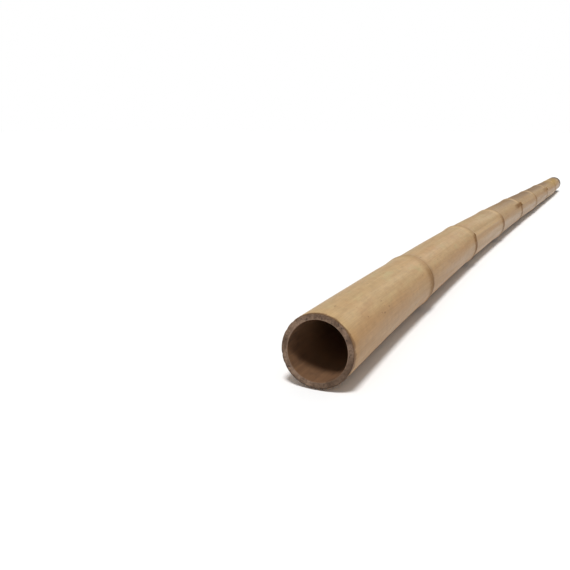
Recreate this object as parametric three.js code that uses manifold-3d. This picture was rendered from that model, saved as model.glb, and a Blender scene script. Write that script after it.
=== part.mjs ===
// A bamboo cane: one dry, sawn length of culm, lying on its side.
// Millimetres, +Z up. The butt (thick end) is at -X and the tip at +X. The cane rests on the
// ridges of its nodes at z = 0, and the origin is under the middle of its bounding box.
//
// The whole cane is one grown piece: a tube with a swollen node every 280 to 350 mm, a thin
// wall (diaphragm) across the bore at each node, and a shallow groove (sulcus) in the skin
// above each bud.
import * as THREE from "three";
import { mergeVertices } from "three/addons/utils/BufferGeometryUtils.js";
import Module from "manifold-3d";

// Driving dimensions.
const LENGTH = 2400; // from the butt face to the tip face
const BUTT_RADIUS = 42;
const TAPER = 7.9; // radius lost evenly along the length
const TAPER_GAIN = 4.5; // further radius lost, gathering towards the tip
const BUTT_WALL = 7.6;
const TIP_WALL = 5.6;

const NODES_AT = [340, 689, 999, 1300, 1594, 1881, 2161]; // distances from the butt face
const NODE_SWELL = 0.042; // height of a node's ridge, as a share of the culm's radius

const SWEEP = 100.8; // sideways bow towards +Y, at the butt
const SWEEP_FADE = 59.5; // how much of the bow is lost on the way to the tip
const ZIGZAG = 0.7; // the culm leans this far to one side, then the other, node by node
const ZIGZAG_REACH = 150; // length of culm, each way, that a node's lean takes in

const CUT_RISE = 0.082; // slope of the hand-sawn butt face: its top leans back to +X
const CUT_TURN = 0.085; // and so does its -Y side
const CUT_DEPTH = 60; // length of culm over which that slope dies out

const DIAPHRAGM = 5; // thickness at its middle
const DIAPHRAGM_RISE = 3; // its middle sits this far above the node's ring
const DRAIN_RADIUS = 6; // hole knocked through each diaphragm so that the cane dries

const BUD_ANGLE = 0.94; // radians from +Z towards -Y, for the buds of every second node
const GROOVE_DEPTH = 1.9;
const GROOVE_HALF_ANGLE = 0.42;
const GROOVE_SHARE = 0.75; // share of the internode that the groove runs up
const GROOVE_FOOT = 4; // distance above the ring at which it begins
const GROOVE_DEEP = 25; // distance above the ring at which it is at its full depth
const GROOVE_FADE = 0.35; // share of its run after which it gets shallower
const LAST_INTERNODE = 280; // full length of the internode that the tip is sawn through

const STUB_RADIUS = 6.5; // trimmed branch, at the upper nodes
const STUB_TAPER = 0.86; // radius of its cut face, as a share of its foot's
const STUB_PROUD = 2.6; // height of its cut face above the node's ridge
const STUB_LEAN = 0.3; // radians from square, towards the tip
const STUB_RISE = 9; // distance of its foot above the ring
const STUB_ROOT = 0.6; // share of the wall that its foot is sunk in
const STUB_SIDES = 12;
const FIRST_STUB_NODE = 3; // index in NODES_AT

const SIDES = 28;

const { lerp, smoothstep } = THREE.MathUtils;

const share = (along) => along / LENGTH;

// Radius of the culm between its nodes.
function culmRadius(along) {
  const t = share(along);
  return BUTT_RADIUS - TAPER * t - TAPER_GAIN * t * t;
}

const wallAt = (along) => lerp(BUTT_WALL, TIP_WALL, share(along));
const boreRadius = (along) => culmRadius(along) - wallAt(along);

// A node seen from the side: distance from the ring, and share of the full swell. The skin
// flares slowly on the butt side, ends in the sharp lip of the sheath scar, and drops
// through a low second ridge to the next internode.
const NODE_OUTLINE = [
  [-46, 0],
  [-30, 0.2],
  [-17, 0.58],
  [-7, 0.9],
  [-1, 1],
  [1.5, 0.66],
  [6, 0.45],
  [12, 0.12],
  [20, 0],
];

// Spacing of the extra rings that let the skin and the bore follow the bow.
const PLAIN_STEP = 130;

function plainRings(from, to, radiusOf) {
  const count = Math.floor((to - from) / PLAIN_STEP);
  return Array.from({ length: count }, (_, i) => {
    const along = from + ((to - from) * (i + 1)) / (count + 1);
    return new THREE.Vector2(radiusOf(along), along);
  });
}

// The skin from butt to tip, as (radius, distance along) points.
function skinOutline() {
  const points = [new THREE.Vector2(culmRadius(0), 0)];
  let last = 0;
  for (const node of NODES_AT) {
    const start = node + NODE_OUTLINE[0][0];
    points.push(...plainRings(last, start, culmRadius));
    for (const [offset, swell] of NODE_OUTLINE) {
      const along = node + offset;
      points.push(new THREE.Vector2(culmRadius(along) * (1 + NODE_SWELL * swell), along));
    }
    last = node + NODE_OUTLINE.at(-1)[0];
  }
  points.push(...plainRings(last, LENGTH, culmRadius));
  points.push(new THREE.Vector2(culmRadius(LENGTH), LENGTH));
  return points;
}

// One face of a diaphragm: distance from the face to the tip side, and share of the bore's
// radius. It thickens into the wall in a wide fillet.
const WEB_OUTLINE = [
  [1.2, 0.62],
  [5.5, 0.94],
  [17.5, 1],
];

// The bore from butt to tip. Each diaphragm sits just above its node's ring and has a small
// round hole at its middle.
function boreOutline() {
  const points = [new THREE.Vector2(boreRadius(0), 0)];
  let last = 0;
  for (const node of NODES_AT) {
    const middle = node + DIAPHRAGM_RISE;
    const half = DIAPHRAGM / 2;
    const tipSide = [
      [half, DRAIN_RADIUS],
      ...WEB_OUTLINE.map(([offset, part]) => [half + offset, boreRadius(node) * part]),
    ];
    const buttSide = tipSide.map(([offset, radius]) => [-offset, radius]).reverse();
    const web = [...buttSide, ...tipSide];
    points.push(...plainRings(last, middle + web[0][0], boreRadius));
    for (const [offset, radius] of web) {
      points.push(new THREE.Vector2(radius, middle + offset));
    }
    last = middle + web.at(-1)[0];
  }
  points.push(...plainRings(last, LENGTH, boreRadius));
  points.push(new THREE.Vector2(boreRadius(LENGTH), LENGTH));
  return points;
}

// The angle of a node's bud, measured from +Z towards -Y. Buds take turns on opposite sides.
const budAngle = (index) => BUD_ANGLE + (index % 2 === 1 ? 0 : Math.PI);

// The middle of the culm at a distance from the butt: y of the bow and z of the axis.
function axisAt(along) {
  const t = share(along);
  const bow = t * (1 - t) * (SWEEP - SWEEP_FADE * t * (1 + t));
  let lean = 0;
  NODES_AT.forEach((node, i) => {
    const nearness = 1 - Math.min(1, Math.abs(along - node) / ZIGZAG_REACH);
    lean += (i % 2 ? 1 : -1) * ZIGZAG * nearness;
  });
  return { y: bow + lean, z: culmRadius(along) * (1 + NODE_SWELL) };
}

// Depth of the groove in the skin above each bud.
function grooveAt(along, angle) {
  let depth = 0;
  NODES_AT.forEach((node, i) => {
    const end = NODES_AT[i + 1] ?? node + LAST_INTERNODE;
    const run = (end - node) * GROOVE_SHARE;
    const up = along - node;
    const lengthwise =
      smoothstep(up, GROOVE_FOOT, GROOVE_DEEP) * (1 - smoothstep(up, GROOVE_FADE * run, run));
    const turn = Math.atan2(Math.sin(angle - budAngle(i)), Math.cos(angle - budAngle(i)));
    const across = Math.exp(-((turn / GROOVE_HALF_ANGLE) ** 2));
    depth += GROOVE_DEPTH * across * lengthwise;
  });
  return depth;
}

// A lathe turns its outline about +Y. This lays each of its vertices down along X, and gives
// the culm its grooves, its bow and the slope of its sawn butt.
function layDown(geometry) {
  const position = geometry.getAttribute("position");
  const lathed = new THREE.Vector3();
  for (let i = 0; i < position.count; i++) {
    lathed.fromBufferAttribute(position, i);
    const along = lathed.y;
    const angle = Math.atan2(lathed.x, lathed.z);
    const radius = Math.hypot(lathed.x, lathed.z);
    const onSkin = radius > culmRadius(along) - 1;
    const reach = radius - (onSkin ? grooveAt(along, angle) : 0);
    const acrossY = -reach * Math.sin(angle);
    const acrossZ = reach * Math.cos(angle);
    const axis = axisAt(along);
    const slope = Math.max(0, 1 - along / CUT_DEPTH);
    const sawn = slope * (CUT_RISE * acrossZ - CUT_TURN * acrossY);
    position.setXYZ(i, along - LENGTH / 2 + sawn, axis.y + acrossY, axis.z + acrossZ);
  }
  return geometry;
}

const wasm = await Module();
wasm.setup();

function toSolid(geometry) {
  const bare = geometry.clone();
  bare.deleteAttribute("normal");
  bare.deleteAttribute("uv");
  const merged = mergeVertices(bare, 1e-3);
  const triVerts = new Uint32Array(merged.index.array);
  const vertProperties = merged.getAttribute("position").array;
  return new wasm.Manifold(new wasm.Mesh({ numProp: 3, vertProperties, triVerts }));
}

function toGeometry(solid) {
  const mesh = solid.getMesh();
  return new THREE.BufferGeometry()
    .setAttribute("position", new THREE.BufferAttribute(mesh.vertProperties, 3))
    .setIndex(new THREE.BufferAttribute(mesh.triVerts, 1));
}

// What is left of a branch trimmed off above a node: a short stub that leans to the tip and
// whose foot stops inside the wall.
function stubSolid(index) {
  const along = NODES_AT[index] + STUB_RISE;
  const angle = budAngle(index);
  const axis = axisAt(along);
  const foot = culmRadius(along) - wallAt(along) * STUB_ROOT;
  const head = culmRadius(along) * (1 + NODE_SWELL) + STUB_PROUD;
  const height = head - foot;
  const stub = new THREE.CylinderGeometry(STUB_RADIUS * STUB_TAPER, STUB_RADIUS, height, STUB_SIDES)
    .translate(0, height / 2, 0)
    .rotateZ(-STUB_LEAN)
    .translate(0, foot, 0)
    .rotateX(Math.PI / 2 + angle)
    .translate(along - LENGTH / 2, axis.y, axis.z);
  return toSolid(stub);
}

// The outline runs up the skin and back down the bore, and closes on itself.
const outline = [...skinOutline(), ...boreOutline().reverse()];
outline.push(outline[0].clone());
let culmSolid = toSolid(layDown(new THREE.LatheGeometry(outline, SIDES)));
for (let i = FIRST_STUB_NODE; i < NODES_AT.length; i++) {
  culmSolid = culmSolid.add(stubSolid(i));
}

const dryCulm = new THREE.MeshStandardMaterial({ color: 0xc4a276, roughness: 0.45, metalness: 0 });
const culmGeometry = toGeometry(culmSolid);
culmGeometry.computeVertexNormals();
culmGeometry.computeBoundingBox();

const box = culmGeometry.boundingBox;
const middle = box.getCenter(new THREE.Vector3());
culmGeometry.translate(-middle.x, -middle.y, -box.min.z);

const culm = new THREE.Mesh(culmGeometry, dryCulm);
culm.name = "culm";

const cane = new THREE.Group();
cane.add(culm);

export default cane;
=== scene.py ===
import math

import bpy
import numpy as np
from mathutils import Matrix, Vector, noise


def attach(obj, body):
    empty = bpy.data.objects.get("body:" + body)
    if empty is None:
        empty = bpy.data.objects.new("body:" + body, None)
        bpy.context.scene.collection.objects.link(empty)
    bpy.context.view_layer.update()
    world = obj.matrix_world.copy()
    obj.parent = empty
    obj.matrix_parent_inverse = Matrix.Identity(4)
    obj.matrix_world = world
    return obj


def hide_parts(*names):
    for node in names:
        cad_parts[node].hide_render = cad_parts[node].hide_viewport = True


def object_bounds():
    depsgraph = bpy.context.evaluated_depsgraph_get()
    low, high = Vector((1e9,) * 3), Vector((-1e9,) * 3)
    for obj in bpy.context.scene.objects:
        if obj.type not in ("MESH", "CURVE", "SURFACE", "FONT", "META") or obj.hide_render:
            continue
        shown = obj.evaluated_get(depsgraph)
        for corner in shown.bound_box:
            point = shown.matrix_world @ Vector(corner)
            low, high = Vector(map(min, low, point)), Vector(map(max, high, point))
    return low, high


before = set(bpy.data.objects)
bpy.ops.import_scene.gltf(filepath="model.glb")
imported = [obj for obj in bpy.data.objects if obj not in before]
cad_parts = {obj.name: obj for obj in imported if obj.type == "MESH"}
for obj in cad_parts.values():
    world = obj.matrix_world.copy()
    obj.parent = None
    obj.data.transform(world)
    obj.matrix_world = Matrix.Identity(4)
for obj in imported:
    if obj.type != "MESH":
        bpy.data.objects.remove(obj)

cad_low, cad_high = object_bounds()


# --- The culm ---------------------------------------------------------------------------------
# A sawn length of timber bamboo, grown in one piece: a thin-walled tube that tapers and bows a
# little, with a swollen node at the top of each internode. It is drawn ring by ring, from the
# sawn butt up the skin, over the tip and back down the bore, and then its grooves and its
# uneven growth are worked into the surface.

LENGTH = 2.400
BUTT_RADIUS = 0.042
TAPER = 0.0079         # radius lost evenly along the length
TAPER_GAIN = 0.0045    # further radius lost, gathering towards the tip
BUTT_WALL = 0.0076
TIP_WALL = 0.0056
NODES_AT = (0.340, 0.689, 0.999, 1.300, 1.594, 1.881, 2.161)
NODE_SWELL = 0.042     # height of a node's ridge, as a share of the radius
BOW = 0.1008           # sideways bow towards +Y, at the butt
BOW_FADE = 0.0595      # how much of the bow is lost on the way to the tip
ZIGZAG = 0.0007
ZIGZAG_REACH = 0.150
BUTT_X = cad_high.x - LENGTH
BUTT_Y = cad_low.y + BUTT_RADIUS
CULM_SIDES = 144


def culm_radius(along):
    """Radius of the skin between the nodes."""
    t = along / LENGTH
    return BUTT_RADIUS - TAPER * t - TAPER_GAIN * t * t


def bore_radius(along):
    """Radius of the hollow between the diaphragms."""
    wall = BUTT_WALL + (TIP_WALL - BUTT_WALL) * along / LENGTH
    return culm_radius(along) - wall


def axis_y(along):
    """The sideways bow of the culm, with the slight zigzag that turns at each node."""
    t = along / LENGTH
    y = t * (1 - t) * (BOW - BOW_FADE * t * (1 + t))
    for i, node in enumerate(NODES_AT):
        lean = ZIGZAG if i % 2 else -ZIGZAG
        y = y + lean * (1 - np.minimum(1, np.abs(along - node) / ZIGZAG_REACH))
    return BUTT_Y + y


def axis_z(along):
    """Every node rests on the floor by its ridge."""
    return culm_radius(along) * (1 + NODE_SWELL)


# A node seen from the side, as (millimetres from the ring, share of the swell). The skin flares
# up to a lip, drops into the narrow scar that the sheath left, rises in a second, rounder ridge
# and falls to the next internode.
NODE_OUTLINE = (
    (-52, 0), (-44, 0.03), (-37, 0.09), (-31, 0.19), (-26, 0.31), (-21, 0.45), (-17, 0.58),
    (-13, 0.71), (-10, 0.81), (-7.5, 0.88), (-5.5, 0.93), (-4, 0.96), (-2.8, 0.985),
    (-1.9, 1.0), (-1.2, 1.0), (-0.7, 0.97), (-0.3, 0.86), (0, 0.70), (0.5, 0.62), (1.1, 0.64),
    (1.8, 0.70), (2.6, 0.74), (3.6, 0.73), (4.8, 0.67), (6.2, 0.57), (8, 0.42), (10, 0.27),
    (12.5, 0.13), (15.5, 0.03), (19, -0.03), (24, -0.05), (32, -0.03), (42, 0),
)
SWELL_REACH = -NODE_OUTLINE[0][0] / 1000

# A diaphragm cut through lengthwise, as (millimetres from its middle, share of the bore's
# radius): it is knocked through with a rod so that the cane dries, which leaves a ragged hole.
DIAPHRAGM_OUTLINE = (
    (20, 1), (12.5, 0.965), (7.5, 0.88), (4.6, 0.70), (2.9, 0.36), (2.0, 0.21), (-2.0, 0.21),
    (-2.9, 0.36), (-4.6, 0.70), (-7.5, 0.88), (-12.5, 0.965), (-20, 1),
)
DIAPHRAGM_RISE = 0.003    # its middle sits this far above the ring


def draw_ring(along, radius, last):
    """Extrudes the open edge of the culm on to a new ring, and returns that ring."""
    old_along, old_radius = last
    step = Vector((along - old_along, axis_y(along) - axis_y(old_along),
                   axis_z(along) - axis_z(old_along)))
    bpy.ops.mesh.extrude_region_move(TRANSFORM_OT_translate={"value": step})
    growth = radius / old_radius
    middle = (BUTT_X + along, axis_y(along), axis_z(along))
    bpy.ops.transform.resize(value=(growth, growth, growth), center_override=middle)
    return along, radius


EDGE = 0.0007              # the sawn arris, worn round
EDGE_CURVE = 0.3 * EDGE
INTERNODE_STEP = 0.022     # spacing of the rings between the nodes
BORE_STEP = 4 * INTERNODE_STEP

bpy.ops.object.select_all(action="DESELECT")
last = (0.0, culm_radius(0) - EDGE)
bpy.ops.mesh.primitive_circle_add(
    vertices=CULM_SIDES, radius=last[1], location=(BUTT_X, axis_y(0), axis_z(0)),
    rotation=(0, math.pi / 2, 0))
culm = bpy.context.object
culm.name = "culm_piece"
bpy.ops.object.transform_apply(location=True, rotation=True, scale=True)
bpy.ops.object.mode_set(mode="EDIT")
bpy.ops.mesh.select_all(action="SELECT")

last = draw_ring(EDGE_CURVE, culm_radius(0) - EDGE_CURVE, last)
last = draw_ring(EDGE, culm_radius(EDGE), last)
for node in NODES_AT + (LENGTH + SWELL_REACH,):
    start = node - SWELL_REACH
    count = math.ceil((start - last[0]) / INTERNODE_STEP)
    for along in np.linspace(last[0], start, count + 1)[1:]:
        if along < LENGTH - EDGE:
            last = draw_ring(along, culm_radius(along), last)
    if node < LENGTH:
        for offset, swell in NODE_OUTLINE[1:]:
            along = node + offset / 1000
            last = draw_ring(along, culm_radius(along) * (1 + NODE_SWELL * swell), last)
last = draw_ring(LENGTH - EDGE, culm_radius(LENGTH), last)
last = draw_ring(LENGTH - EDGE_CURVE, culm_radius(LENGTH) - EDGE_CURVE, last)
last = draw_ring(LENGTH, culm_radius(LENGTH) - EDGE, last)

# Across the tip's sawn face, and down the bore from one diaphragm to the next.
last = draw_ring(LENGTH, (culm_radius(LENGTH) + bore_radius(LENGTH)) / 2, last)
last = draw_ring(LENGTH, bore_radius(LENGTH) + EDGE / 2, last)
last = draw_ring(LENGTH - EDGE / 2, bore_radius(LENGTH), last)
for node in reversed((0.0,) + NODES_AT):
    middle = node + DIAPHRAGM_RISE
    start = middle + DIAPHRAGM_OUTLINE[0][0] / 1000 if node else EDGE / 2
    count = math.ceil((last[0] - start) / BORE_STEP)
    for along in np.linspace(last[0], start, count + 1)[1:]:
        last = draw_ring(along, bore_radius(along), last)
    if node:
        for offset, share in DIAPHRAGM_OUTLINE[1:]:
            along = middle + offset / 1000
            last = draw_ring(along, bore_radius(along) * share, last)
last = draw_ring(0.0, bore_radius(0) + EDGE / 2, last)
last = draw_ring(0.0, (culm_radius(0) + bore_radius(0)) / 2, last)
last = draw_ring(0.0, culm_radius(0) - EDGE, last)
bpy.ops.mesh.select_all(action="SELECT")
bpy.ops.mesh.remove_doubles(threshold=1e-6)
bpy.ops.mesh.normals_make_consistent(inside=False)

# Buds sit on opposite sides of the culm by turns, just above each ring. The skin round them is
# cut finer, and finer again close in, so that they and the trimmed branches can be worked in it.
BUD_ANGLE = 0.94
BUD_RISE = 0.009
BUD_PATCHES = (0.017, 0.0105)    # distances from a bud


def bud_angle(index):
    """Angle of a node's bud, from straight up towards -Y."""
    return BUD_ANGLE + np.pi * (index % 2 == 0)


def on_culm(along, angle, radius):
    """A point on a ring of the bowed culm."""
    return Vector((BUTT_X + along, axis_y(along) - radius * math.sin(angle),
                   axis_z(along) + radius * math.cos(angle)))


bpy.ops.mesh.select_mode(type="FACE")
for patch in BUD_PATCHES:
    bpy.ops.mesh.select_all(action="DESELECT")
    bpy.ops.object.mode_set(mode="OBJECT")
    for i, node in enumerate(NODES_AT):
        bud_at = on_culm(node + BUD_RISE, bud_angle(i), culm_radius(node))
        for face in culm.data.polygons:
            if (face.center - bud_at).length < patch:
                face.select = True
    bpy.ops.object.mode_set(mode="EDIT")
    bpy.ops.mesh.subdivide(number_cuts=1)
bpy.ops.object.mode_set(mode="OBJECT")

# Each vertex's place on the straight culm: how far along, which way round, and how far out.
# Angles run from straight up towards -Y.
SKIN_DEPTH = 0.0016    # what is deeper than this isn't skin
mesh = culm.data
place = np.empty(len(mesh.vertices) * 3, np.float32)
mesh.vertices.foreach_get("co", place)
place = place.reshape(-1, 3).astype(float)
along = place[:, 0] - BUTT_X
out_y = place[:, 1] - axis_y(along)
out_z = place[:, 2] - axis_z(along)
angle = np.arctan2(-out_y, out_z)
reach = np.hypot(out_y, out_z)
on_skin = reach > culm_radius(along) - SKIN_DEPTH

node_places = np.array(NODES_AT)
nearest = np.abs(along[:, None] - node_places[None, :]).argmin(1)
from_ring = along - node_places[nearest]


def turn_from_bud(index):
    """Angle from the bud of each vertex's own node, from -pi to pi."""
    turn = angle - bud_angle(index)
    return np.arctan2(np.sin(turn), np.cos(turn))


def ease(low, high, x):
    """Goes smoothly from 0 to 1 as x goes from low to high."""
    t = np.clip((x - low) / (high - low), 0, 1)
    return t * t * (3 - 2 * t)


# Above each bud the internode is pressed into a shallow groove, with a narrow crease and a ridge
# side by side in it. They start above the ring and die out up the internode.
GROOVE_DEPTH = 0.0011
GROOVE_HALF_ANGLE = 0.42
GROOVE_START = (0.002, 0.025)    # distances above the ring
GROOVE_END = (0.26, 0.75)        # shares of the internode
CREASE_DEPTH = 0.0008
CREASE_TURN = -0.10
CREASE_HALF_ANGLE = 0.085
CREASE_START = (0.008, 0.022)
CREASE_END = (0.7, 1.0)
RIDGE_HEIGHT = 0.0013
RIDGE_TURN = 0.09
RIDGE_SHARE = (0.5, 1.0, 0.4, 0.7, 0.4, 0.5, 0.4)    # how strong both are, node by node
LAST_INTERNODE = 0.280                               # the one that the tip is sawn through
BELOW_REACH = 0.004    # skin this close under a ring already counts as above it
below = np.searchsorted(node_places, along + BELOW_REACH) - 1
ends = np.append(node_places[1:], node_places[-1] + LAST_INTERNODE)
run = (ends - node_places)[below]
up = along - node_places[below]
turn = turn_from_bud(below)
fade = ease(*GROOVE_START, up) * (1 - ease(GROOVE_END[0] * run, GROOVE_END[1] * run, up))
groove = GROOVE_DEPTH * fade * np.exp(-((turn / GROOVE_HALF_ANGLE) ** 2))
fade = ease(*CREASE_START, up) * (1 - ease(CREASE_END[0] * run, CREASE_END[1] * run, up))
fade = fade * (below >= 0) * np.array(RIDGE_SHARE)[below]
crease = np.exp(-(((turn - CREASE_TURN) / CREASE_HALF_ANGLE) ** 2))
ridge = np.exp(-(((turn - RIDGE_TURN) / CREASE_HALF_ANGLE) ** 2))
groove = groove + fade * (CREASE_DEPTH * crease - RIDGE_HEIGHT * ridge)
groove[below < 0] = 0
# The groove's ridge less its crease: where the skin gets a painted highlight and a painted shade.
groove_light_and_shade = fade * (ridge - crease)

# Uneven growth: slow lumps over a hand's width, and ripples close round each node. The bore is
# lumpy too.
LUMP_HEIGHT = 0.00045
LUMP_SINK = 0.6
LUMPS_PER_METRE = (9, 22, 22)
RIPPLE_HEIGHT = 0.00035
RIPPLE_SINK = 0.5
RIPPLES_PER_METRE = (60, 110, 110)
RIPPLE_REACH = 0.018
BORE_LUMP_HEIGHT = 0.0008
lumps = np.empty(len(along))
ripples = np.empty(len(along))
for i in range(len(along)):
    flat = Vector((along[i], reach[i] * math.sin(angle[i]), reach[i] * math.cos(angle[i])))
    lumps[i] = noise.noise(flat * Vector(LUMPS_PER_METRE))
    ripples[i] = noise.noise(flat * Vector(RIPPLES_PER_METRE))
close = np.exp(-((from_ring / RIPPLE_REACH) ** 2))
uneven = LUMP_HEIGHT * (lumps - LUMP_SINK) + RIPPLE_HEIGHT * close * (ripples - RIPPLE_SINK)
reach = reach - np.where(on_skin, groove - uneven, -BORE_LUMP_HEIGHT * lumps)

# The upper buds grew into branches, which were trimmed off close: each leaves a short stub in a
# low collar, with a flat, slightly tilted face and a pith hole.
FIRST_STUB_NODE = 3
STUB_RADIUS = 0.0062
STUB_SIDE = (0.0054, 0.0068)     # distances from its middle where its side starts and ends
STUB_PROUD = 0.0026
STUB_TILT = 0.3
COLLAR_HEIGHT = 0.0010
COLLAR_RADIUS = 0.0105
PITH_SIDE = (0.0010, 0.0019)
PITH_DEPTH = 0.0016
from_stub = np.hypot(from_ring - BUD_RISE, turn_from_bud(nearest) * reach)
ridge_top = culm_radius(along) * (1 + NODE_SWELL)
face_height = ridge_top + STUB_PROUD - STUB_TILT * (from_ring - BUD_RISE)
collar = COLLAR_HEIGHT * np.exp(-((from_stub / COLLAR_RADIUS) ** 2))
pith = PITH_DEPTH * (1 - ease(*PITH_SIDE, from_stub))
stub = (1 - ease(*STUB_SIDE, from_stub)) * on_skin
stubbed = (nearest >= FIRST_STUB_NODE) & on_skin
reach = np.where(stubbed, reach + collar, reach)
reach = np.where(stubbed, reach + stub * (face_height - pith - reach), reach)

# The lower buds stayed asleep, as low pointed scales.
SCALE_HEIGHT = 0.0014
SCALE_SIDE = (0.0016, 0.0052)    # distances from its middle line
SCALE_TAPER = 0.42
SCALE_FOOT = (0.001, 0.003)      # distances above the ring
SCALE_POINT = (0.007, 0.014)
SCALE_WIDEST = 0.002
off_line = np.abs(turn_from_bud(nearest) * reach)
off_line = off_line + SCALE_TAPER * np.maximum(0, from_ring - SCALE_WIDEST)
asleep = (1 - ease(*SCALE_SIDE, off_line)) * ease(*SCALE_FOOT, from_ring)
asleep = asleep * (1 - ease(*SCALE_POINT, from_ring)) * on_skin * (nearest < FIRST_STUB_NODE)
reach = reach + SCALE_HEIGHT * asleep

# The rings wander. Each turns aside at its bud, to the butt or, at the second node, to the tip,
# and each leans a little and waves.
SCAR_DIP = (0.004, -0.004, 0.004, 0.004, 0.004, 0.004, 0.004)
DIP_HALF_WIDTH = 0.011
RING_LEAN = (0.001, 0.005, -0.005, -0.008, 0.002, -0.004, 0.003)
SLOW_WAVE = 0.0008
QUICK_WAVE = 0.0005
WANDER_REACH = 0.016    # how far from a ring the skin goes along with it
dip = np.exp(-((turn_from_bud(nearest) * reach / DIP_HALF_WIDTH) ** 2))
dip = np.array(SCAR_DIP)[nearest] * dip
lean = np.array(RING_LEAN)[nearest] * np.sin(angle)
wave = SLOW_WAVE * np.sin(angle * 2 + nearest * 1.7) + QUICK_WAVE * np.sin(angle * 5 + nearest)
hold = np.exp(-((from_ring / WANDER_REACH) ** 2)) * on_skin
slid = along - (dip + lean + wave) * hold

# The saw has chipped the arris here and there.
CHIP_REACH = 0.0026
CHIP_DEPTH = 0.0012
CHIPS_ROUND = 7
CHIPS_PER_METRE = 300
CHIP_SEED = 4.1
CHIP_RARITY = 0.25
chips = np.zeros(len(along))
for i in np.nonzero(on_skin & ((along < CHIP_REACH) | (along > LENGTH - CHIP_REACH)))[0]:
    chips[i] = noise.noise(Vector((angle[i] * CHIPS_ROUND, along[i] * CHIPS_PER_METRE, CHIP_SEED)))
reach = reach - CHIP_DEPTH * np.maximum(0, chips - CHIP_RARITY)

# The butt is sawn a few degrees out of square.
CUT_RISE = 0.082     # slope of the cut: its top leans back to +X
CUT_TURN = 0.085     # and so does its -Y side
CUT_DEPTH = 0.060    # length of culm over which that slope dies out
slope = np.maximum(0, 1 - along / CUT_DEPTH)
sawn = slope * (CUT_RISE * reach * np.cos(angle) + CUT_TURN * reach * np.sin(angle))
place[:, 0] = BUTT_X + slid + sawn
place[:, 1] = axis_y(along) - reach * np.sin(angle)
place[:, 2] = axis_z(along) + reach * np.cos(angle)
mesh.vertices.foreach_set("co", place.astype(np.float32).ravel())
mesh.update()

# How much dirt each ring has kept, and how dark the stain under each bud is. Rings are less dark
# on top, and at the second node the dark part starts sharply at the bud. The internodes
# have weathered to different shades: the first three are light and the rest are dark.
RING_DIRT = (0.66, 0.88, 0.80, 0.75, 0.6, 0.5, 0.5)
RING_DIRT_ON_TOP = (0.40, 0.28, 0.28, 0.28, 0.28, 0.28, 0.28)    # shares of the above
DIRTY_FLANK = (0.62, 1.22)                                       # angles from the top
SHARP_NODE = 1                                                   # index in NODES_AT
SHARP_START = (BUD_ANGLE - 0.08, BUD_ANGLE + 0.06)
BUD_STAIN = (0.1, 0.1, 0.15, 0.85, 0.2, 0.3, 0.25)
INTERNODE_TONE = (0.0, 0.1, 0.15, 0.6, 0.75, 0.85, 0.7, 0.7)
RING_ZONE = 0.120
on_flank = ease(*DIRTY_FLANK, np.abs(angle))
on_flank = np.where((nearest == SHARP_NODE) & (angle > 0), ease(*SHARP_START, angle), on_flank)
on_top = np.array(RING_DIRT_ON_TOP)[nearest]

# What the materials read, vertex by vertex: the place on the straightened culm, in metres; the
# distances from the nearest ring and from the line of its bud; how deep in the wall; how far
# round from the top, in degrees; and how strong each mark is there.
FOR_THE_MATERIALS = {
    "straight": np.stack([along, reach * np.sin(angle), reach * np.cos(angle)], 1),
    "from_ring": from_ring,
    "round_bud": turn_from_bud(nearest) * reach,
    "in_wall": (reach - bore_radius(along)) / (culm_radius(along) - bore_radius(along)),
    "from_top": np.degrees(np.abs(angle)),
    "near_ring": np.abs(from_ring) < RING_ZONE,
    "kept_dirt": (on_top + (1 - on_top) * on_flank) * np.array(RING_DIRT)[nearest],
    "stain": np.array(BUD_STAIN)[nearest],
    "groove_light_and_shade": groove_light_and_shade,
    "bud_scale": asleep,
    "tone": np.array(INTERNODE_TONE)[np.searchsorted(node_places, along)],
}
for name, values in FOR_THE_MATERIALS.items():
    flat_list = values.astype(np.float32).ravel()
    if values.ndim == 2:
        mesh.attributes.new(name, "FLOAT_VECTOR", "POINT").data.foreach_set("vector", flat_list)
    else:
        mesh.attributes.new(name, "FLOAT", "POINT").data.foreach_set("value", flat_list)


def linear(code):
    """An sRGB hex colour as the linear colour that a shader takes."""
    parts = [int(code[i:i + 2], 16) / 255 for i in (1, 3, 5)]
    return tuple(c / 12.92 if c <= 0.04045 else ((c + 0.055) / 1.055) ** 2.4 for c in parts) + (1,)


def add_node(tree, kind, inputs, **settings):
    """Adds a node with its settings; each input is a value or a socket to link from."""
    node = tree.nodes.new(kind)
    for name, value in settings.items():
        setattr(node, name, value)
    for key, value in inputs.items():
        if isinstance(value, bpy.types.NodeSocket):
            tree.links.new(value, node.inputs[key])
        else:
            node.inputs[key].default_value = value
    return node


def draw_marks(tree, spot, marks):
    """Noise marks, each as ((marks to a metre along, sideways, upward), detail, roughness)."""
    drawn = []
    for per_metre, detail, roughness in marks:
        scaled = add_node(tree, "ShaderNodeMapping", {"Vector": spot, "Scale": per_metre})
        mark = add_node(tree, "ShaderNodeTexNoise",
                        {"Vector": scaled.outputs[0], "Scale": 1.0, "Detail": detail,
                         "Roughness": roughness})
        drawn.append(mark.outputs[0])
    return drawn


def cover(tree, *masks):
    """How strongly something covers the surface: the product of its masks.

    A mask is a socket, or (value, start, end) or (value, start, end, least, most): it eases from
    least to most, or from 0 to 1, as the value goes from start to end.
    """
    amount = None
    for mask in masks:
        if isinstance(mask, tuple):
            value, start, end, least, most = (mask + (0.0, 1.0))[:5]
            mask = add_node(tree, "ShaderNodeMapRange",
                            {"Value": value, "From Min": start, "From Max": end,
                             "To Min": least, "To Max": most},
                            interpolation_type="SMOOTHSTEP").outputs[0]
        if amount is None:
            amount = mask
        else:
            amount = add_node(tree, "ShaderNodeMath", {0: amount, 1: mask},
                              operation="MULTIPLY").outputs[0]
    return amount


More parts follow.
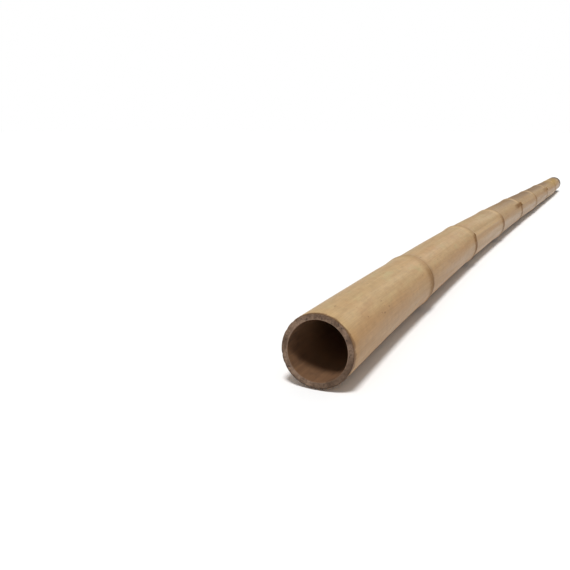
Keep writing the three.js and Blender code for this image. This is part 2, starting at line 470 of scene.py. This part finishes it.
def lay_over(tree, colour, layer, *masks):
    """Lays a second colour over the first, as strongly as its masks let it cover."""
    return add_node(tree, "ShaderNodeMix", {0: cover(tree, *masks), 6: colour, 7: layer},
                    data_type="RGBA").outputs[2]


# Dry bamboo skin: the green has bleached to straw and tan. The waxy outer layer gives a satin
# gloss over long fibres. Just under each ring it has a pale painted highlight, and it is brown in
# the notch of the ring, where dirt collects.
skin = bpy.data.materials.new("dry_bamboo_skin")
skin.use_nodes = True
tree = skin.node_tree
tree.nodes.clear()
spot = add_node(tree, "ShaderNodeAttribute", {}, attribute_name="straight").outputs["Vector"]
lengthwise = add_node(tree, "ShaderNodeSeparateXYZ", {0: spot}).outputs[0]
ring, round_bud, tone, kept, from_top, near_ring, painted_groove_light, bud_scale, stain = [
    add_node(tree, "ShaderNodeAttribute", {}, attribute_name=name).outputs["Fac"]
    for name in ("from_ring", "round_bud", "tone", "kept_dirt", "from_top", "near_ring",
                 "groove_light_and_shade", "bud_scale", "stain")]

# Streaks 10 mm wide and a hand long, clouds over half a span, blotches as big as a thumb, fibres
# drawn 1 mm wide, mottling 10 mm across, brown specks of 5 by 14 mm and grime along the fibres,
# 3 mm wide.
streaks, clouds, blotches, fibres, mottle, pepper, grime = draw_marks(tree, spot, (
    ((5, 95, 95), 4.0, 0.62),
    ((6, 20, 20), 3.0, 0.5),
    ((22, 55, 55), 4.0, 0.6),
    ((22, 900, 900), 3.0, 0.7),
    ((75, 120, 120), 4.0, 0.65),
    ((70, 200, 200), 2.0, 0.5),
    ((45, 300, 300), 5.0, 0.75),
))

colour = lay_over(tree, linear("#B89B71"), linear("#B0926A"), (streaks, 0.3, 0.7))
colour = lay_over(tree, colour, linear("#B8936A"), (clouds, 0.45, 0.72, 0.0, 0.45))
colour = lay_over(tree, colour, linear("#B3A176"), (blotches, 0.52, 0.72, 0.0, 0.8))
colour = lay_over(tree, colour, linear("#AC875F"), (blotches, 0.46, 0.30, 0.0, 0.5))

# The flanks are more orange than the top, and the part that lay against other canes, low on
# each side, is paler and greyer beyond the first ring.
colour = lay_over(tree, colour, linear("#A98459"),
                  (from_top, 44, 68), (clouds, 0.25, 0.6, 0.6, 1.0))
colour = lay_over(tree, colour, linear("#B09370"),
                  (from_top, 66, 84, 0.0, 0.85), (lengthwise, 0.38, 0.95))

# It goes browner span by span towards the tip. From 0.7 m on the top is darkened further, a
# painted shade. The last span has an ochre stain.
TONE_STRENGTH = 0.42
browning = add_node(tree, "ShaderNodeMath", {0: tone, 1: TONE_STRENGTH}, operation="MULTIPLY")
colour = lay_over(tree, colour, linear("#8E7050"), browning.outputs[0])
# Painted shade on top of the culm, from 0.7 m on, growing to full by 1.45 m.
colour = lay_over(tree, colour, linear("#7E603D"),
                  (lengthwise, 0.70, 1.45, 0.0, 0.92), (from_top, 42, 12))
colour = lay_over(tree, colour, linear("#A5823F"),
                  (lengthwise, 1.98, 2.12), (lengthwise, 2.36, 2.26), (from_top, 85, 30),
                  (streaks, 0.35, 0.6, 0.35, 0.85))

# Both sawn ends have soaked up dirt: the tip a few centimetres of it, ragged along the fibres,
# and the butt a few millimetres, more of them low down.
STREAK_WANDER = 0.05    # how far a soaked edge wanders with the streaks, and with the grime
GRIME_WANDER = 0.07
soaked = add_node(tree, "ShaderNodeMath", {0: streaks, 1: STREAK_WANDER, 2: lengthwise},
                  operation="MULTIPLY_ADD")
soaked = add_node(tree, "ShaderNodeMath", {0: grime, 1: GRIME_WANDER, 2: soaked.outputs[0]},
                  operation="MULTIPLY_ADD")
colour = lay_over(tree, colour, linear("#523E30"), (soaked.outputs[0], 2.385, 2.430, 0.0, 0.92))
depth = cover(tree, (from_top, 40, 110, 0.004, 0.011), (streaks, 0.3, 0.7, 0.4, 1.4))
soaked = add_node(tree, "ShaderNodeMath", {0: lengthwise, 1: depth}, operation="DIVIDE")
colour = lay_over(tree, colour, linear("#6A4B32"), (soaked.outputs[0], 1.0, 0.3, 0.0, 0.75))

# Over all of it lie the fine marks: the mottling, the drawn-out fibres and the small brown
# specks and scuffs, a few to a hand's breadth.
for mark in ((mottle, 0.25, 0.75, 0.93, 1.07), (fibres, 0.28, 0.72, 0.92, 1.07)):
    colour = add_node(tree, "ShaderNodeMix", {0: 1.0, 6: colour, 7: cover(tree, mark)},
                      data_type="RGBA", blend_type="MULTIPLY").outputs[2]
colour = lay_over(tree, colour, linear("#6A4C34"), (pepper, 0.69, 0.78, 0.0, 0.6))

# Down each internode the groove's ridge gets a painted highlight and its crease a painted shade.
colour = lay_over(tree, colour, linear("#C4A67A"), (painted_groove_light, 0.3, 0.9, 0.0, 0.45))
colour = lay_over(tree, colour, linear("#8A673F"), (painted_groove_light, -0.3, -0.9, 0.0, 0.15))

# Dirt round each ring, a ragged brown band about 25 mm wide, and the stain that runs towards
# the butt from under each bud, where sap ran when the branch was trimmed.
BAND_WANDER = 0.018    # how far the edges of the band, and of the stain, wander with the grime
STAIN_WANDER = 0.008
ragged = add_node(tree, "ShaderNodeMath", {0: grime, 1: BAND_WANDER, 2: ring},
                  operation="MULTIPLY_ADD").outputs[0]
dirt = cover(tree, (ragged, -0.017, 0.002), (ragged, 0.027, 0.011),
             (mottle, 0.25, 0.65, 0.65, 1.0), kept, near_ring)
off_bud = add_node(tree, "ShaderNodeMath", {0: round_bud}, operation="ABSOLUTE").outputs[0]
ragged = add_node(tree, "ShaderNodeMath", {0: grime, 1: STAIN_WANDER, 2: off_bud},
                  operation="MULTIPLY_ADD").outputs[0]
sap = cover(tree, (ragged, 0.0130, 0.0070), (ring, -0.105, -0.035), (ring, 0.026, 0.004),
            stain, near_ring)
dirt = add_node(tree, "ShaderNodeMath", {0: dirt, 1: sap}, operation="MAXIMUM").outputs[0]
colour = lay_over(tree, colour, linear("#72502D"), dirt)

# A pale painted highlight on the swelling under each ring, on top only and stronger towards the
# tip.
colour = lay_over(tree, colour, linear("#C6A77C"),
                  (ring, -0.038, -0.022), (ring, -0.006, -0.015),
                  (lengthwise, 0.3, 0.9, 0.1, 0.6), near_ring, (from_top, 50, 30))

# The dark line of the sheath's scar in the ring's notch, and the brown scale of a bud.
colour = lay_over(tree, colour, linear("#4A2E1A"),
                  (ring, -0.0020, 0.0000), (ring, 0.0028, 0.0008), kept, near_ring)
SCALE_STRENGTH = 0.8
brown_scale = add_node(tree, "ShaderNodeMath", {0: bud_scale, 1: SCALE_STRENGTH},
                       operation="MULTIPLY")
colour = lay_over(tree, colour, linear("#664A2E"), brown_scale.outputs[0])

# Dirt takes the gloss off.
DIRT_MATTING = 0.35
waxy = cover(tree, (streaks, 0.3, 0.7, 0.36, 0.48))
roughness = add_node(tree, "ShaderNodeMath", {0: dirt, 1: DIRT_MATTING, 2: waxy},
                     operation="MULTIPLY_ADD").outputs[0]
relief = add_node(tree, "ShaderNodeBump",
                  {"Height": fibres, "Strength": 0.12, "Distance": 0.0004}).outputs[0]
surface = add_node(tree, "ShaderNodeBsdfPrincipled",
                   {"Base Color": colour, "Roughness": roughness, "Normal": relief,
                    "IOR": 1.5, "Specular IOR Level": 0.14})
add_node(tree, "ShaderNodeOutputMaterial", {"Surface": surface.outputs[0]})

# Sawn culm wall: weathered grey-brown end grain, matt, with a dark rind and a paler inner edge.
# The dark dots are the fibre bundles, drawn 1.5 mm across to show. Its lower -Y side is darker.
end_grain = bpy.data.materials.new("sawn_bamboo_end_grain")
end_grain.use_nodes = True
tree = end_grain.node_tree
tree.nodes.clear()
spot = add_node(tree, "ShaderNodeAttribute", {}, attribute_name="straight").outputs["Vector"]
in_wall = add_node(tree, "ShaderNodeAttribute", {}, attribute_name="in_wall").outputs["Fac"]
sideways, upward = add_node(tree, "ShaderNodeSeparateXYZ", {0: spot}).outputs[1:]
flat = add_node(tree, "ShaderNodeMapping", {"Vector": spot, "Scale": (0, 1, 1)}).outputs[0]
bundles = add_node(tree, "ShaderNodeTexVoronoi",
                   {"Vector": flat, "Scale": 480.0, "Randomness": 0.9}).outputs["Distance"]
weather, patches = draw_marks(tree, flat, (((1, 90, 90), 5.0, 0.65), ((1, 260, 260), 2.0, 0.5)))
colour = lay_over(tree, linear("#846C59"), linear("#574232"), (weather, 0.35, 0.65))
colour = lay_over(tree, colour, linear("#33251B"), (patches, 0.56, 0.70, 0.0, 0.8))
colour = lay_over(tree, colour, linear("#3F2F23"), (bundles, 0.45, 0.2, 0.0, 0.4))
rind = lay_over(tree, linear("#35271B"), linear("#5E4429"), (upward, -0.020, 0.020))
colour = lay_over(tree, colour, rind, (in_wall, 0.72, 0.94, 0.0, 0.9))
colour = lay_over(tree, colour, linear("#867060"), (in_wall, 0.20, 0.04, 0.0, 0.45))
DARKER_WAY = (0.64, -0.77)    # which way the darker side lies: sideways and upward
low_side = add_node(tree, "ShaderNodeMath", {0: upward, 1: DARKER_WAY[1]},
                    operation="MULTIPLY")
low_side = add_node(tree, "ShaderNodeMath",
                    {0: sideways, 1: DARKER_WAY[0], 2: low_side.outputs[0]},
                    operation="MULTIPLY_ADD").outputs[0]
colour = lay_over(tree, colour, linear("#44301F"), (low_side, 0.020, 0.036, 0.0, 0.55))
relief = add_node(tree, "ShaderNodeBump",
                  {"Height": bundles, "Strength": 0.5, "Distance": 0.0008}).outputs[0]
surface = add_node(tree, "ShaderNodeBsdfPrincipled",
                   {"Base Color": colour, "Roughness": 0.85, "Normal": relief, "IOR": 1.45})
add_node(tree, "ShaderNodeOutputMaterial", {"Surface": surface.outputs[0]})

# Bore lining: the papery inner layer of the wall, matt brown, with soft lengthwise wrinkles
# 3 mm wide. It has weathered darker for the first few centimetres, inside the open butt.
lining = bpy.data.materials.new("bamboo_bore_lining")
lining.use_nodes = True
tree = lining.node_tree
tree.nodes.clear()
spot = add_node(tree, "ShaderNodeAttribute", {}, attribute_name="straight").outputs["Vector"]
lengthwise = add_node(tree, "ShaderNodeSeparateXYZ", {0: spot}).outputs[0]
wrinkles, blotches = draw_marks(tree, spot, (((12, 300, 300), 4.0, 0.5), ((50, 90, 90), 3.0, 0.5)))
colour = lay_over(tree, linear("#7C5B3E"), linear("#5A3D27"), wrinkles)
colour = lay_over(tree, colour, linear("#4A3424"), (blotches, 0.45, 0.7, 0.0, 0.5))
colour = lay_over(tree, colour, linear("#8F6B4C"), (lengthwise, 0.020, 0.060))
relief = add_node(tree, "ShaderNodeBump",
                  {"Height": wrinkles, "Strength": 0.3, "Distance": 0.0006}).outputs[0]
surface = add_node(tree, "ShaderNodeBsdfPrincipled",
                   {"Base Color": colour, "Roughness": 0.8, "Normal": relief, "IOR": 1.45})
add_node(tree, "ShaderNodeOutputMaterial", {"Surface": surface.outputs[0]})

# Trimmed branch: a pale, matt cut face, fuzzy with fibre ends drawn 1.5 mm across.
trimmed = bpy.data.materials.new("trimmed_bamboo_branch")
trimmed.use_nodes = True
tree = trimmed.node_tree
tree.nodes.clear()
spot = add_node(tree, "ShaderNodeAttribute", {}, attribute_name="straight").outputs["Vector"]
fuzz = draw_marks(tree, spot, (((700, 700, 700), 3.0, 0.5),))[0]
colour = lay_over(tree, linear("#C2A880"), linear("#8F7050"), fuzz)
surface = add_node(tree, "ShaderNodeBsdfPrincipled",
                   {"Base Color": colour, "Roughness": 0.8, "IOR": 1.45})
add_node(tree, "ShaderNodeOutputMaterial", {"Surface": surface.outputs[0]})

for material in (skin, end_grain, lining, trimmed):
    mesh.materials.append(material)
CUT_FACE_DEPTH = EDGE / 4
for face in mesh.polygons:
    corners = list(face.vertices)
    distance = along[corners].mean()
    if distance < CUT_FACE_DEPTH or distance > LENGTH - CUT_FACE_DEPTH:
        face.material_index = 1
    elif not on_skin[corners].all():
        face.material_index = 2
    elif stubbed[corners].all() and from_stub[corners].max() < STUB_RADIUS:
        face.material_index = 3
bpy.ops.object.select_all(action="DESELECT")
culm.select_set(True)
bpy.context.view_layer.objects.active = culm
bpy.ops.object.shade_smooth_by_angle(angle=math.radians(40))

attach(culm, "root")
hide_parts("culm")


# --- Floor and light ----------------------------------------------------------------------------
# A plain white floor in a white room, which looks brighter than it shines. One overhead key light
# leans to the butt, and a soft light beyond the tip gives the skin its sheen.
bpy.ops.mesh.primitive_plane_add(size=60, location=(0, 0, 0))
floor = bpy.context.object
floor.name = "floor"
white_paint = bpy.data.materials.new("matt_white_floor")
white_paint.use_nodes = True
tree = white_paint.node_tree
tree.nodes.clear()
surface = add_node(tree, "ShaderNodeBsdfPrincipled",
                   {"Base Color": linear("#F3F3F3"), "Roughness": 0.9,
                    "Specular IOR Level": 0.1})
add_node(tree, "ShaderNodeOutputMaterial", {"Surface": surface.outputs[0]})
floor.data.materials.append(white_paint)

room = bpy.data.worlds.new("white_room")
bpy.context.scene.world = room
room.use_nodes = True
tree = room.node_tree
tree.nodes.clear()
dim = add_node(tree, "ShaderNodeBackground", {"Color": (1, 1, 1, 1), "Strength": 0.40})
bright = add_node(tree, "ShaderNodeBackground", {"Color": (1, 1, 1, 1), "Strength": 1.0})
seen = add_node(tree, "ShaderNodeLightPath", {}).outputs["Is Camera Ray"]
backdrop = add_node(tree, "ShaderNodeMixShader",
                    {0: seen, 1: dim.outputs[0], 2: bright.outputs[0]})
add_node(tree, "ShaderNodeOutputWorld", {"Surface": backdrop.outputs[0]})

bpy.ops.object.light_add(type="SUN", location=(BUTT_X, BUTT_Y, 2))
key = bpy.context.object
key.name = "overhead_key"
key.data.energy = 2.67
key.data.angle = math.radians(14)
key.rotation_euler = (math.radians(4.5), math.radians(-20), 0)

SOFTBOX_AT = (BUTT_X + 4.4, BUTT_Y - 0.35, 1.85)
SOFTBOX_AIM = (BUTT_X + 0.3, BUTT_Y, 0.08)
bpy.ops.object.light_add(type="AREA", location=SOFTBOX_AT)
sheen = bpy.context.object
sheen.name = "far_softbox"
sheen.data.shape = "RECTANGLE"
sheen.data.size = 1.3
sheen.data.size_y = 0.9
sheen.data.energy = 6
sheen.visible_camera = False
aim = Vector(SOFTBOX_AIM) - sheen.location
sheen.rotation_euler = aim.to_track_quat("-Z", "Y").to_euler()


# --- Camera -------------------------------------------------------------------------------------
# Low, close to the butt and looking along the cane, a little above it.
CAMERA_BEFORE_BUTT = 0.5342
CAMERA_BESIDE_BUTT = 0.2594    # towards -Y
CAMERA_HEIGHT = 0.2749
CAMERA_DIP = 14.90             # degrees below level
CAMERA_TURN = 29.2             # degrees from +X towards +Y
camera_data = bpy.data.cameras.new("camera")
camera = bpy.data.objects.new("camera", camera_data)
bpy.context.scene.collection.objects.link(camera)
camera_data.lens = 37.41
camera_data.sensor_width = 36
camera.location = (BUTT_X - CAMERA_BEFORE_BUTT, BUTT_Y - CAMERA_BESIDE_BUTT, CAMERA_HEIGHT)
camera.rotation_euler = (math.radians(90 - CAMERA_DIP), 0, math.radians(CAMERA_TURN - 90))
bpy.context.scene.camera = camera
bpy.context.scene.view_settings.view_transform = "Standard"
